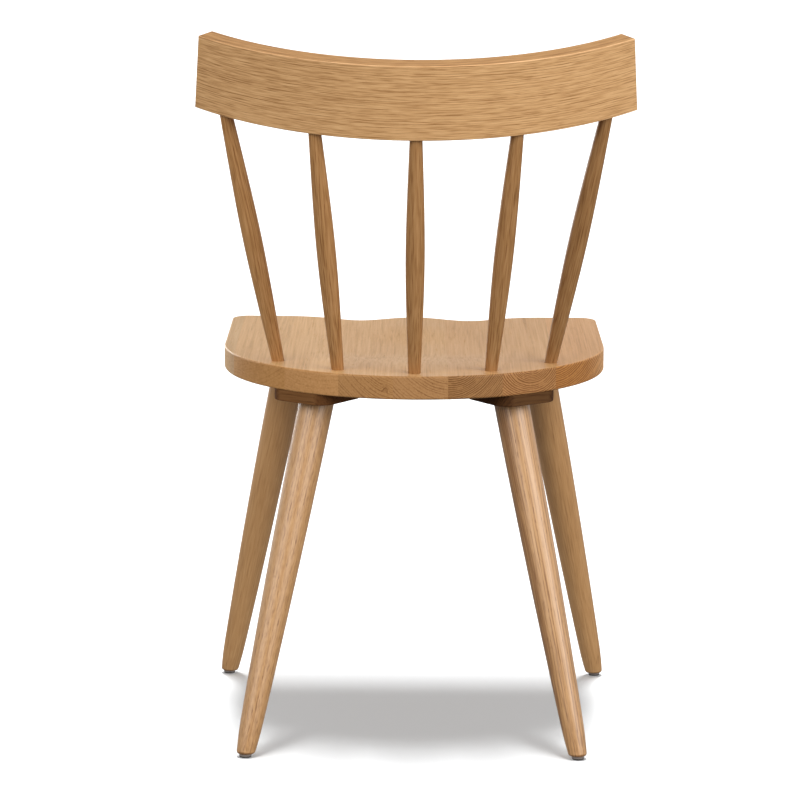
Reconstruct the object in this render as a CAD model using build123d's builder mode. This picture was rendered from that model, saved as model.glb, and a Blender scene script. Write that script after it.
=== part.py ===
from build123d import *
import os
from math import asin, cos, degrees, exp, radians, sin, tan

# A spindle back chair in oak, in millimetres. +Z is up, the front faces -Y and +X is the
# sitter's left. The origin is on the floor, below the middle of the chair's box.

# Seat panel: a D in plan, round at the back, glued from staves that run front to back
seat_width = 454.0
seat_depth = 430.0
seat_thickness = 27.0
seat_rear_height = 437.0
seat_pitch = 2.3
seat_corner_radius = 20.0
seat_edge_round = 2.0
stave_count = 8
stave_width = seat_width / 7.25
stave_shift = 0.385 * stave_width

# Saddle in the seat's top: two thigh hollows with a pommel between them at the front
hollow_depth = 7.0
hollow_offset = 67.0
hollow_breadth = 45.0
hollow_rear_margin = 62.0
hollow_rear_ramp = 145.0
hollow_front_rise = 2.0
pommel_length = 120.0
pommel_breadth = 50.0
saddle_step = 30.0

# Spindles, evenly spaced round the seat's edge and along the crest rail
spindle_count = 5
spindle_length = 285.0
spindle_lean = 16.0
spindle_inset = 24.5
spindle_seat_angle = 25.75
spindle_crest_angle = 18.4
spindle_end_diameter = 14.5
spindle_quarter_diameter = 19.4
spindle_belly_diameter = 22.0
spindle_seat_depth = 18.0
spindle_crest_depth = 16.0

# Crest rail, bent to a radius on its rear face and tilted back
crest_radius = 369.0
crest_thickness = 22.0
crest_height = 88.0
crest_lean = 18.0
crest_lower_span = 501.0
crest_upper_span = 489.0
crest_edge_round = 1.2

# Legs, each splayed along a diagonal, with a round tenon at the top
rear_leg_x = 112.0
rear_leg_y = 147.0
front_leg_x = 151.0
front_leg_y = -72.0
leg_splay = 18.6
leg_heading = 36.0
leg_top_diameter = 40.5
leg_middle_diameter = 35.2
leg_ankle_diameter = 26.2
leg_ankle_height = 42.0
leg_foot_diameter = 19.7
leg_foot_round = 3.0
tenon_diameter = 28.0
tenon_seat_depth = 15.0

# Leg blocks under the seat, square to each leg's splay, held by countersunk wood screws
block_side = 82.0
block_thickness = 13.0
block_corner_radius = 20.0
block_edge_round = 1.0
screw_spacing = 54.0
screw_length = 28.0
screw_diameter = 4.0
screw_head_diameter = 8.0
screw_head_angle = 82.0
screw_tip_length = 6.0
screw_tip_diameter = 0.8
recess_length = 4.4
recess_width = 1.0
recess_depth = 1.4

# Foot glides: a moulded disc on a nail, with a thin pad under it
glide_diameter = 14.2
glide_thickness = 2.4
glide_edge_round = 0.7
pad_diameter = 14.0
pad_thickness = 1.6
pad_edge_round = 0.3
nail_diameter = 2.4
nail_length = 18.0
nail_tip_length = 3.0
nail_tip_diameter = 0.6
nail_head_diameter = 6.0
nail_head_thickness = 1.0

# Fits
joint_clearance = 0.1
screw_clearance = 0.05

# How far a cutter stands out of the face that it starts from
cut_over = 30.0
saddle_blank = 6.0
saddle_margin = 20.0

# Where the seat lies: the middle of its rear arc, so that the whole chair is centred on Y
rear_arc = seat_width / 2
front_run = seat_depth - rear_arc
pitch = radians(seat_pitch)
crest_tilt = radians(crest_lean)
spindle_circle = rear_arc - spindle_inset
crest_reach = (
    spindle_circle * cos(pitch)
    + spindle_length * sin(radians(spindle_lean))
    + crest_thickness / 2 * cos(crest_tilt)
    + (crest_height - crest_edge_round) * sin(crest_tilt)
    + crest_edge_round * (1 - cos(crest_tilt))
)
front_reach = front_run * cos(pitch) + seat_thickness * sin(pitch)
seat_plane = Plane(
    origin=(0, (front_reach - crest_reach) / 2, seat_rear_height + rear_arc * sin(pitch)),
    x_dir=(1, 0, 0),
    z_dir=(0, sin(pitch), cos(pitch)),
)
seat_underside = seat_plane.offset(-seat_thickness)
block_underside = seat_underside.offset(-block_thickness)

# Where the crest rail lies: its lower edge, at the middle of its rear face
centre_foot = seat_plane.from_local_coords(Vector(0, spindle_circle, 0))
centre_rise = Vector(0, sin(radians(spindle_lean)), cos(radians(spindle_lean)))
crest_inward = Vector(0, -cos(crest_tilt), sin(crest_tilt))
crest_plane = Plane(
    origin=centre_foot + centre_rise * spindle_length - crest_inward * (crest_thickness / 2),
    x_dir=(1, 0, 0),
    z_dir=(0, sin(crest_tilt), cos(crest_tilt)),
)


def crest_point(angle, inward, height):
    """A point of the crest rail: degrees round its bend, depth from its rear face, height."""
    radius = crest_radius - inward
    across = radius * sin(radians(angle))
    back = radius * cos(radians(angle)) - crest_radius
    return crest_plane.from_local_coords(Vector(across, back, height))


def seat_point(angle):
    """A point of the seat's top on the circle of spindles, degrees from the middle."""
    across = spindle_circle * sin(radians(angle))
    back = spindle_circle * cos(radians(angle))
    return seat_plane.from_local_coords(Vector(across, back, 0))


def turning_plane(base, direction):
    """A plane through a turned piece's axis, with the axis as its local Y."""
    across = Plane(origin=base, z_dir=direction)
    return Plane(origin=base, x_dir=across.x_dir, z_dir=-across.y_dir)


def smooth_step(value):
    """Rises from 0 to 1 as value goes from 0 to 1, level at both ends."""
    bounded = min(max(value, 0.0), 1.0)
    return bounded * bounded * (3 - 2 * bounded)


def bell(offset, breadth):
    """A bell curve of height 1, which falls to a third at about breadth from its middle."""
    return exp(-((offset / breadth) ** 2))


def saddle_drop(across, back):
    """How deep the saddle is at a place on the seat, measured from its level edge."""
    from_rear = rear_arc - hollow_rear_margin - back
    fade = smooth_step(from_rear / hollow_rear_ramp)
    rise = hollow_front_rise * (max(-back, 0.0) / front_run) ** 2
    hollows = bell(across - hollow_offset, hollow_breadth) + bell(across + hollow_offset, hollow_breadth)
    from_pommel = back + front_run - pommel_length / 2
    middle = smooth_step(from_pommel / pommel_length) * bell(across, pommel_breadth)
    return (hollow_depth - rise) * fade * (hollows + middle * (1 - hollows / 2))


def even_steps(low, high, step):
    """Evenly spaced values from low to high, about step apart."""
    count = max(2, round((high - low) / step))
    return [low + (high - low) * place / count for place in range(count + 1)]


# Each spindle's ends on the seat's top and the crest rail's lower edge, from the sitter's right
spindles = []
for place in range(spindle_count):
    turn = place - (spindle_count - 1) / 2
    foot = seat_point(turn * spindle_seat_angle)
    head = crest_point(turn * spindle_crest_angle, crest_thickness / 2, 0)
    spindles.append((foot, head))

# Each leg: its name, its axis, and the plane of its block's lower face turned to its heading
legs = []
for row_name, leg_x, leg_y in [("rear", rear_leg_x, rear_leg_y), ("front", front_leg_x, front_leg_y)]:
    for side_name, side in [("left", 1), ("right", -1)]:
        back = 1 if row_name == "rear" else -1
        outward = Vector(side * sin(radians(leg_heading)), back * cos(radians(leg_heading)), 0)
        rise = Vector(0, 0, cos(radians(leg_splay))) - outward * sin(radians(leg_splay))
        top = block_underside.from_local_coords(Vector(side * leg_x, leg_y, 0))
        axis_plane = Plane(origin=top, z_dir=rise)
        block_side_run = outward.cross(block_underside.z_dir)
        block_plane = Plane(origin=top, x_dir=block_side_run, z_dir=block_underside.z_dir)
        legs.append((f"{row_name}_{side_name}", axis_plane, block_plane))

# The screws' heads lie in the lower faces of the blocks and point down, a set to each block
screw_sets = []
for name, axis_plane, block_plane in legs:
    screw_set = []
    for across in (-screw_spacing / 2, screw_spacing / 2):
        for along in (-screw_spacing / 2, screw_spacing / 2):
            seat_at = block_plane.from_local_coords(Vector(across, along, 0))
            screw_set.append(Plane(origin=seat_at, x_dir=block_plane.x_dir, z_dir=-block_plane.z_dir))
    screw_sets.append(screw_set)
screw_planes = [plane for screw_set in screw_sets for plane in screw_set]

# The foot of each leg, on its axis, where it is cut level above the glide
glide_height = glide_thickness + pad_thickness
feet = []
for name, axis_plane, block_plane in legs:
    drop = (axis_plane.origin.Z - glide_height) / axis_plane.z_dir.Z
    feet.append(axis_plane.origin - axis_plane.z_dir * drop)

os.makedirs("parts", exist_ok=True)

# Surface of the saddled seat, carried past the panel's edge on all sides
saddle_points = []
for across in even_steps(-rear_arc - saddle_margin, rear_arc + saddle_margin, saddle_step):
    row = []
    for back in even_steps(-front_run - saddle_margin, rear_arc + saddle_margin, saddle_step):
        row.append(seat_plane.from_local_coords(Vector(across, back, -saddle_drop(across, back))))
    saddle_points.append(row)
saddle = Face.make_surface_from_array_of_points(saddle_points, min_deg=3, max_deg=3)

# The whole seat panel, saddled, rounded and bored, before it is parted along its glue lines
with BuildPart() as seat:
    with BuildSketch(seat_underside) as outline:
        with BuildLine():
            CenterArc((0, 0), rear_arc, 0, 180)
            Polyline((-rear_arc, 0), (-rear_arc, -front_run), (rear_arc, -front_run), (rear_arc, 0))
        make_face()
        fillet(outline.vertices().group_by(Axis.Y)[0], seat_corner_radius)
    extrude(amount=seat_thickness + saddle_blank)
    split(bisect_by=saddle, keep=Keep.BOTTOM)
    lower_rim = seat.faces().sort_by(Axis.Z)[0].outer_wire().edges()
    upper_rim = seat.faces().sort_by(Axis.Z)[-1].outer_wire().edges()
    fillet(lower_rim + upper_rim, seat_edge_round)
    for foot, head in spindles:
        with Locations(Plane(origin=foot, z_dir=head - foot).offset(-spindle_seat_depth)):
            Cylinder(
                spindle_end_diameter / 2 + joint_clearance,
                spindle_seat_depth + cut_over,
                align=(Align.CENTER, Align.CENTER, Align.MIN),
                mode=Mode.SUBTRACT,
            )
    for name, axis_plane, block_plane in legs:
        with Locations(axis_plane):
            Cylinder(
                tenon_diameter / 2 + joint_clearance,
                block_thickness / cos(radians(leg_splay)) + tenon_seat_depth,
                align=(Align.CENTER, Align.CENTER, Align.MIN),
                mode=Mode.SUBTRACT,
            )
    with Locations(*screw_planes):
        Cylinder(
            screw_diameter / 2 + screw_clearance,
            screw_length,
            align=(Align.CENTER, Align.CENTER, Align.MAX),
            mode=Mode.SUBTRACT,
        )

# Seat staves, numbered from the sitter's right
middle_line = (stave_count - 2) / 2
glue_lines = [stave_shift + stave_width * (place - middle_line) for place in range(stave_count - 1)]
for place in range(stave_count):
    with BuildPart() as stave:
        add(seat.part)
        if place > 0:
            split(bisect_by=Plane.YZ.offset(glue_lines[place - 1]), keep=Keep.TOP)
        if place < stave_count - 1:
            split(bisect_by=Plane.YZ.offset(glue_lines[place]), keep=Keep.BOTTOM)
    stave.part.label = f"seat_stave_{place + 1}"
    export_step(stave.part, f"parts/{stave.part.label}.step")

# Crest rail, cut off at each end by a plane that leans in towards the top
lower_angle = degrees(asin(crest_lower_span / 2 / crest_radius))
upper_angle = degrees(asin(crest_upper_span / 2 / crest_radius))
blank_angle = lower_angle + degrees(cut_over / crest_radius)
with BuildPart() as crest_rail:
    with BuildSketch(crest_plane):
        with BuildLine():
            rear_edge = CenterArc((0, -crest_radius), crest_radius, 90 - blank_angle, 2 * blank_angle)
            front_edge = CenterArc(
                (0, -crest_radius), crest_radius - crest_thickness, 90 - blank_angle, 2 * blank_angle
            )
            Line(rear_edge @ 0, front_edge @ 0)
            Line(rear_edge @ 1, front_edge @ 1)
        make_face()
    extrude(amount=crest_height)
    for side in (1, -1):
        lower_end = crest_point(side * lower_angle, 0, 0)
        upper_end = crest_point(side * upper_angle, 0, crest_height)
        inner_end = crest_point(side * lower_angle, crest_thickness, 0)
        end_normal = (upper_end - lower_end).cross(inner_end - lower_end) * side
        split(bisect_by=Plane(origin=lower_end, z_dir=end_normal), keep=Keep.BOTTOM)
    fillet(crest_rail.edges(), crest_edge_round)
    for foot, head in spindles:
        with Locations(Plane(origin=head, z_dir=head - foot).offset(spindle_crest_depth)):
            Cylinder(
                spindle_end_diameter / 2 + joint_clearance,
                spindle_crest_depth + cut_over,
                align=(Align.CENTER, Align.CENTER, Align.MAX),
                mode=Mode.SUBTRACT,
            )
crest_rail.part.label = "crest_rail"
export_step(crest_rail.part, "parts/crest_rail.step")

# Spindles, turned to a belly, with their straight ends let into the seat and the crest rail
for number, (foot, head) in enumerate(spindles, start=1):
    length = (head - foot).length
    end_radius = spindle_end_diameter / 2
    quarter_radius = spindle_quarter_diameter / 2
    with BuildPart() as spindle:
        with BuildSketch(turning_plane(foot, head - foot)):
            with BuildLine():
                Polyline((end_radius, 0), (end_radius, -spindle_seat_depth), (0, -spindle_seat_depth))
                Line((0, -spindle_seat_depth), (0, length + spindle_crest_depth))
                Polyline(
                    (0, length + spindle_crest_depth),
                    (end_radius, length + spindle_crest_depth),
                    (end_radius, length),
                )
                Spline(
                    (end_radius, length),
                    (quarter_radius, length * 3 / 4),
                    (spindle_belly_diameter / 2, length / 2),
                    (quarter_radius, length / 4),
                    (end_radius, 0),
                )
            make_face()
        revolve(axis=Axis(foot, head - foot))
    spindle.part.label = f"spindle_{number}"
    export_step(spindle.part, f"parts/{spindle.part.label}.step")

# Legs, turned to a full taper that draws in at the ankle, cut level at the foot and to the block
for (name, axis_plane, block_plane), foot in zip(legs, feet):
    rise = axis_plane.z_dir
    length = axis_plane.origin.Z / rise.Z
    floor_point = axis_plane.origin - rise * length
    end_slope = leg_top_diameter / 2 * tan(radians(leg_splay + seat_pitch))
    with BuildPart() as leg:
        with BuildSketch(turning_plane(floor_point, rise)):
            with BuildLine():
                flank = ThreePointArc(
                    (leg_ankle_diameter / 2, leg_ankle_height),
                    (leg_middle_diameter / 2, length / 2),
                    (leg_top_diameter / 2, length),
                )
                ankle = TangentArc(flank @ 0, (leg_foot_diameter / 2, 0), tangent=flank % 0 * -1)
                Polyline(flank @ 1, (leg_top_diameter / 2, length + end_slope), (0, length + end_slope))
                Line((0, length + end_slope), (0, -end_slope))
                Polyline((0, -end_slope), (leg_foot_diameter / 2, -end_slope), ankle @ 1)
            make_face()
        revolve(axis=Axis(floor_point, rise))
        split(bisect_by=Plane.XY.offset(glide_height), keep=Keep.TOP)
        split(bisect_by=block_plane, keep=Keep.BOTTOM)
        fillet(leg.edges().group_by(Axis.Z)[0], leg_foot_round)
        with Locations(axis_plane.offset(-end_slope)):
            Cylinder(
                tenon_diameter / 2,
                end_slope + block_thickness / cos(radians(leg_splay)) + tenon_seat_depth,
                align=(Align.CENTER, Align.CENTER, Align.MIN),
            )
        with Locations(foot):
            Cylinder(
                nail_diameter / 2 + joint_clearance,
                nail_length,
                align=(Align.CENTER, Align.CENTER, Align.MIN),
                mode=Mode.SUBTRACT,
            )
    leg.part.label = f"leg_{name}"
    export_step(leg.part, f"parts/{leg.part.label}.step")

# Leg blocks: rounded square plates against the seat's lower face, bored for tenon and screws
for (name, axis_plane, block_plane), screw_set in zip(legs, screw_sets):
    with BuildPart() as block:
        with BuildSketch(block_plane):
            RectangleRounded(block_side, block_side, block_corner_radius)
        extrude(amount=block_thickness)
        fillet(block.faces().sort_by(Axis.Z)[0].outer_wire().edges(), block_edge_round)
        with Locations(axis_plane):
            Cylinder(tenon_diameter / 2 + joint_clearance, block_side, mode=Mode.SUBTRACT)
        with Locations(*screw_set):
            CounterSinkHole(
                screw_diameter / 2 + screw_clearance,
                screw_head_diameter / 2 + screw_clearance,
                depth=screw_length,
                counter_sink_angle=screw_head_angle,
            )
    block.part.label = f"leg_block_{name}"
    export_step(block.part, f"parts/{block.part.label}.step")

# One countersunk wood screw, its head at the origin and its point down -Z
head_depth = (screw_head_diameter - screw_diameter) / 2 / tan(radians(screw_head_angle / 2))
with BuildPart() as screw:
    with BuildSketch(Plane.XZ):
        with BuildLine():
            Polyline(
                (0, 0),
                (screw_head_diameter / 2, 0),
                (screw_diameter / 2, -head_depth),
                (screw_diameter / 2, screw_tip_length - screw_length),
                (screw_tip_diameter / 2, -screw_length),
                (0, -screw_length),
                close=True,
            )
        make_face()
    revolve(axis=Axis.Z)
    with BuildSketch(Plane.XY):
        Rectangle(recess_length, recess_width)
        Rectangle(recess_width, recess_length)
    extrude(amount=-recess_depth, mode=Mode.SUBTRACT)

with BuildPart() as block_screws:
    with Locations(*screw_planes):
        add(screw.part)
block_screws.part.label = "block_screws"
export_step(block_screws.part, "parts/block_screws.step")

# One glide nail, its head on the XY plane and its point up
with BuildPart() as nail:
    with BuildSketch(Plane.XZ):
        with BuildLine():
            Polyline(
                (0, 0),
                (nail_head_diameter / 2, 0),
                (nail_head_diameter / 2, nail_head_thickness),
                (nail_diameter / 2, nail_head_thickness),
                (nail_diameter / 2, nail_length - nail_tip_length),
                (nail_tip_diameter / 2, nail_length),
                (0, nail_length),
                close=True,
            )
        make_face()
    revolve(axis=Axis.Z)

with BuildPart() as glide_nails:
    with Locations(*[(foot.X, foot.Y, pad_thickness) for foot in feet]):
        add(nail.part)
glide_nails.part.label = "glide_nails"
export_step(glide_nails.part, "parts/glide_nails.step")

# Foot glides and their pads
for (name, axis_plane, block_plane), foot in zip(legs, feet):
    with BuildPart() as glide:
        with Locations((foot.X, foot.Y, pad_thickness)):
            Cylinder(glide_diameter / 2, glide_thickness, align=(Align.CENTER, Align.CENTER, Align.MIN))
        fillet(glide.edges().group_by(Axis.Z)[0], glide_edge_round)
        with Locations((foot.X, foot.Y, pad_thickness)):
            Cylinder(
                nail_head_diameter / 2 + joint_clearance,
                nail_head_thickness,
                align=(Align.CENTER, Align.CENTER, Align.MIN),
                mode=Mode.SUBTRACT,
            )
            Cylinder(
                nail_diameter / 2 + joint_clearance,
                glide_thickness,
                align=(Align.CENTER, Align.CENTER, Align.MIN),
                mode=Mode.SUBTRACT,
            )
    glide.part.label = f"glide_{name}"
    export_step(glide.part, f"parts/{glide.part.label}.step")

    with BuildPart() as pad:
        with Locations((foot.X, foot.Y, 0)):
            Cylinder(pad_diameter / 2, pad_thickness, align=(Align.CENTER, Align.CENTER, Align.MIN))
        fillet(pad.edges().group_by(Axis.Z)[0], pad_edge_round)
    pad.part.label = f"glide_pad_{name}"
    export_step(pad.part, f"parts/{pad.part.label}.step")
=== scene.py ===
"""A spindle back chair in lacquered oak: its finishes, its soft pads, the studio and the camera.

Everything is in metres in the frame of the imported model: +Z up, the chair's front towards -Y.
"""

import logging
import math
from dataclasses import dataclass, replace
from enum import Enum
from typing import Mapping, Sequence

import bmesh
import bpy
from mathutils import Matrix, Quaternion, Vector, noise


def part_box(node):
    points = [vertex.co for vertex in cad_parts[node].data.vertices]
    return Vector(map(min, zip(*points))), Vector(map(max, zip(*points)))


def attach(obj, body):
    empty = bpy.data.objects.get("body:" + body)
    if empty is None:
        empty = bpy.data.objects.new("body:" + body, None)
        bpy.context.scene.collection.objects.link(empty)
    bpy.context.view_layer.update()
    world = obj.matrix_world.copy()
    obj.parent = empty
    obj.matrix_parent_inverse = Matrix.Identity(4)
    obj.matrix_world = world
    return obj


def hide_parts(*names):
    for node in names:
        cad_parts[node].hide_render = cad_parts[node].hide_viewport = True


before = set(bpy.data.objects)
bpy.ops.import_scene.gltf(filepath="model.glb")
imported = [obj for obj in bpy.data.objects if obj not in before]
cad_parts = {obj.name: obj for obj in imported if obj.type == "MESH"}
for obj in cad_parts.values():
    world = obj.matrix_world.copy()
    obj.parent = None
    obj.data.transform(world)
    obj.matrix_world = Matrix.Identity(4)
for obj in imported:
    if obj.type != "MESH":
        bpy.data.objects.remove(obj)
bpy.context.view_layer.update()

BODY = "root"
UP = Vector((0.0, 0.0, 1.0))
REARWARD = Vector((0.0, 1.0, 0.0))
LEFTWARD = Vector((1.0, 0.0, 0.0))
log = logging.getLogger("spindle_back_chair")

Colour = tuple[float, float, float]
Band = tuple[float, float]
Setting = Mapping[str, object]

# Noise runs from about 0 to 1
NOISE_MIDDLE = 0.5


class Wire:
    """One output in a finish's node tree. Arithmetic on it adds Math nodes."""

    def __init__(self, tree: "NodeTree", socket: bpy.types.NodeSocket) -> None:
        """Keeps the tree and the socket."""
        self.tree = tree
        self.socket = socket

    def __add__(self, other: "Wire | float") -> "Wire":
        """Adds a wire or a number."""
        return self.tree.math("ADD", self, other)

    def __radd__(self, other: float) -> "Wire":
        """Adds this wire to a number."""
        return self.tree.math("ADD", other, self)

    def __sub__(self, other: "Wire | float") -> "Wire":
        """Takes a wire or a number away."""
        return self.tree.math("SUBTRACT", self, other)

    def __rsub__(self, other: float) -> "Wire":
        """Takes this wire away from a number."""
        return self.tree.math("SUBTRACT", other, self)

    def __mul__(self, other: "Wire | float") -> "Wire":
        """Multiplies by a wire or a number."""
        return self.tree.math("MULTIPLY", self, other)

    def __rmul__(self, other: float) -> "Wire":
        """Multiplies a number by this wire."""
        return self.tree.math("MULTIPLY", other, self)

    def __truediv__(self, other: "Wire | float") -> "Wire":
        """Divides by a wire or a number."""
        return self.tree.math("DIVIDE", self, other)

    def __rtruediv__(self, other: float) -> "Wire":
        """Divides a number by this wire."""
        return self.tree.math("DIVIDE", other, self)

    def __abs__(self) -> "Wire":
        """The size without the sign."""
        return self.tree.math("ABSOLUTE", self)

    def root(self) -> "Wire":
        """The square root."""
        return self.tree.math("SQRT", self)

    def fraction(self) -> "Wire":
        """The part after the point, which repeats from 0 to 1."""
        return self.tree.math("FRACT", self)

    def centred(self) -> "Wire":
        """Noise that is moved to lie about 0."""
        return self - NOISE_MIDDLE

    def rise(self, low: float, high: float) -> "Wire":
        """Goes smoothly from 0 at low to 1 at high.

        Args:
            low: Where it starts to rise.
            high: Where it is up.

        Returns:
            The smooth step.
        """
        settings = {"interpolation_type": "SMOOTHSTEP", "clamp": True}
        inputs = {"Value": self, "From Min": low, "From Max": high, "To Min": 0.0, "To Max": 1.0}
        return self.tree.wire("ShaderNodeMapRange", "Result", settings, inputs)


Feed = Wire | float | Sequence[float]
Inputs = Mapping[str | int, Feed]


class NodeTree:
    """A node tree, filled from Python expressions."""

    # The sockets that a Mix node has for colours
    MIX_FACTOR = 0
    MIX_FIRST = 6
    MIX_SECOND = 7
    MIX_RESULT = 2

    def __init__(self, owner: bpy.types.Material | bpy.types.World) -> None:
        """Empties the tree of a material or of the room.

        Args:
            owner: What the tree belongs to.
        """
        owner.use_nodes = True
        self.owner = owner
        self.nodes = owner.node_tree.nodes
        self.links = owner.node_tree.links
        self.nodes.clear()

    def node(self, kind: str, settings: Setting, inputs: Inputs) -> bpy.types.Node:
        """Adds one node.

        Args:
            kind: The node's type.
            settings: Its properties, set first. The name stops holds a ramp's places and colours.
            inputs: The values or wires of its sockets, by name or by place.

        Returns:
            The node.
        """
        made = self.nodes.new(kind)
        for name, value in settings.items():
            if name == "stops":
                self._set_stops(made.color_ramp, value)
            else:
                setattr(made, name, value)
        for key, value in inputs.items():
            if isinstance(value, Wire):
                self.links.new(value.socket, made.inputs[key])
            else:
                made.inputs[key].default_value = value
        return made

    @staticmethod
    def _set_stops(ramp: bpy.types.ColorRamp, stops: Sequence[tuple[float, Colour]]) -> None:
        """Gives a ramp its stops.

        Args:
            ramp: The ramp of a new node, which has two stops.
            stops: Places from 0 to 1 with their colours.
        """
        for place, colour in stops[1:-1]:
            ramp.elements.new(place).color = (*colour, 1.0)
        outer = ((ramp.elements[0], stops[0]), (ramp.elements[-1], stops[-1]))
        for element, (place, colour) in outer:
            element.position = place
            element.color = (*colour, 1.0)

    def wire(self, kind: str, output: str | int, settings: Setting, inputs: Inputs) -> Wire:
        """Adds one node and gives one of its outputs.

        Args:
            kind: The node's type.
            output: The output's name or place.
            settings: Its properties.
            inputs: The values or wires of its sockets.

        Returns:
            The output.
        """
        return Wire(self, self.node(kind, settings, inputs).outputs[output])

    def math(self, operation: str, *values: Wire | float) -> Wire:
        """Adds a Math node on values."""
        return self.wire("ShaderNodeMath", 0, {"operation": operation}, dict(enumerate(values)))

    def vector(self, across: Feed, through: Feed, along: Feed) -> Wire:
        """Joins three values into a vector."""
        return self.wire("ShaderNodeCombineXYZ", 0, {}, {0: across, 1: through, 2: along})

    def place(self) -> Wire:
        """The point of the surface, in metres in the frame."""
        return self.wire("ShaderNodeTexCoord", "Object", {}, {})

    def spots(self, count: float) -> Wire:
        """The point of the surface, times how many spots there are to a metre."""
        inputs = {0: self.place(), "Scale": count}
        return self.wire("ShaderNodeVectorMath", 0, {"operation": "SCALE"}, inputs)

    def distance(self, point: Sequence[float]) -> Wire:
        """How far the surface is from a point, in metres."""
        inputs = {0: self.place(), 1: point}
        return self.wire("ShaderNodeVectorMath", "Value", {"operation": "DISTANCE"}, inputs)

    def facing(self, direction: Vector) -> Wire:
        """How far the surface faces a direction, from -1 to 1."""
        normal = self.wire("ShaderNodeNewGeometry", "Normal", {}, {})
        return self.dot(normal, direction)

    def dot(self, vector: Wire, direction: Vector) -> Wire:
        """The part of a vector along a direction."""
        inputs = {0: vector, 1: direction}
        return self.wire("ShaderNodeVectorMath", "Value", {"operation": "DOT_PRODUCT"}, inputs)

    def grain_noise(self, vector: Wire, detail: float = 1.0, roughness: float = 0.5) -> Wire:
        """Noise from about 0 to 1 that changes over one unit of its vector.

        Args:
            vector: Where to look in the noise.
            detail: How many finer layers it has.
            roughness: How strong the finer layers are.

        Returns:
            The noise.
        """
        inputs = {"Vector": vector, "Scale": 1.0, "Detail": detail, "Roughness": roughness}
        return self.wire("ShaderNodeTexNoise", 0, {}, inputs)

    def ramp(self, value: Wire, stops: Sequence[tuple[float, Colour]]) -> Wire:
        """Turns a value into a colour.

        Args:
            value: From 0 to 1.
            stops: Places with their colours.

        Returns:
            The colour.
        """
        return self.wire("ShaderNodeValToRGB", "Color", {"stops": stops}, {"Fac": value})

    def mottle(self, patches: Wire, colour: Colour, dull: float, band: Band) -> Wire:
        """Makes a colour dull in patches.

        Args:
            patches: From 0 to 1, low where the colour is dull.
            colour: The colour elsewhere.
            dull: What it is multiplied by where it is dull.
            band: Where the patches end, and where the colour is full.

        Returns:
            The colour.
        """
        dulled = tuple(dull * part for part in colour)
        return self.ramp(patches, ((band[0], dulled), (band[1], colour)))

    def tint(self, colour: Wire, tint: Colour, amount: Feed = 1.0) -> Wire:
        """Multiplies a colour by a tint.

        Args:
            colour: The colour.
            tint: What it is multiplied by.
            amount: How much of that shows, from 0 to 1.

        Returns:
            The tinted colour.
        """
        settings = {"data_type": "RGBA", "blend_type": "MULTIPLY", "clamp_factor": True}
        inputs = {self.MIX_FACTOR: amount, self.MIX_FIRST: colour, self.MIX_SECOND: (*tint, 1.0)}
        return self.wire("ShaderNodeMix", self.MIX_RESULT, settings, inputs)

    def bump(self, height: Wire, depth: float, strength: float) -> Wire:
        """Turns a height into a normal.

        Args:
            height: From 0 to 1.
            depth: How deep 1 is, in metres.
            strength: How much of it shows.

        Returns:
            The normal.
        """
        inputs = {"Strength": strength, "Distance": depth, "Height": height}
        return self.wire("ShaderNodeBump", 0, {}, inputs)


class FinishTree(NodeTree):
    """The node tree of one material."""

    def __init__(self, name: str) -> None:
        """Makes a material with an empty tree.

        Args:
            name: The material's name.
        """
        super().__init__(bpy.data.materials.new(name))

    def finish(self, inputs: Inputs) -> bpy.types.Material:
        """Ends the tree in a Principled shader.

        Args:
            inputs: The shader's sockets.

        Returns:
            The material.
        """
        shader = self.wire("ShaderNodeBsdfPrincipled", 0, {}, inputs)
        self.node("ShaderNodeOutputMaterial", {}, {"Surface": shader})
        return self.owner


@dataclass(frozen=True)
class Knot:
    """The mark of a twig that the log grew round.

    Attributes:
        place: Its middle, in the frame.
        reach: How far round it the growth is bent.
        swell: How far the growth is pushed out at its middle.
        dark: How dark its middle is.
    """

    place: tuple[float, float, float]
    reach: float
    swell: float
    dark: float


@dataclass(frozen=True)
class Waves:
    """Noise in the wood that is drawn out along the fibres.

    Attributes:
        fine: How many waves there are to a metre across.
        short: How many there are to a metre along.
        detail: How many finer layers it has.
        start: Where along the noise it starts.
    """

    fine: float
    short: float
    detail: float = 1.0
    start: float = 0.0

    def lay(self, across: Wire, through: Wire, along: Wire) -> Wire:
        """Lays the noise along the fibres.

        Args:
            across: How far across the fibres the surface is.
            through: How far through them it is.
            along: How far along them it is.

        Returns:
            The noise, from about 0 to 1.
        """
        tree = across.tree
        place = tree.vector(across * self.fine, through * self.fine, along * self.short + self.start)
        return tree.grain_noise(place, self.detail)


# How the logs grew. Pieces with seeds one apart lie a step apart in the log
LOG_STEP = 3.7
SWAY = Waves(11.0, 1.6, detail=2.0)
DRIFT = Waves(13.0, 2.1, detail=2.0, start=40.0)
RIPPLE = Waves(190.0, 16.0)
RIPPLE_HEIGHT = 0.0011
KNOT_CORE: Band = (0.30, 0.90)


@dataclass(frozen=True)
class Growth:
    """The log at the surface of a piece, as wires in metres.

    Attributes:
        across: How far across the fibres the surface is.
        through: How far through them it is.
        along: How far along the log it is.
        run: How far along the piece it is.
        radius: How far from the pith it is.
        angle: Which way from the pith it lies, in radians.
        rings: How far out it is, with the ripples and knots of the growth.
        cores: How dark the middle of each knot is.
    """

    across: Wire
    through: Wire
    along: Wire
    run: Wire
    radius: Wire
    angle: Wire
    rings: Wire
    cores: tuple[Wire, ...]


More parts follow.
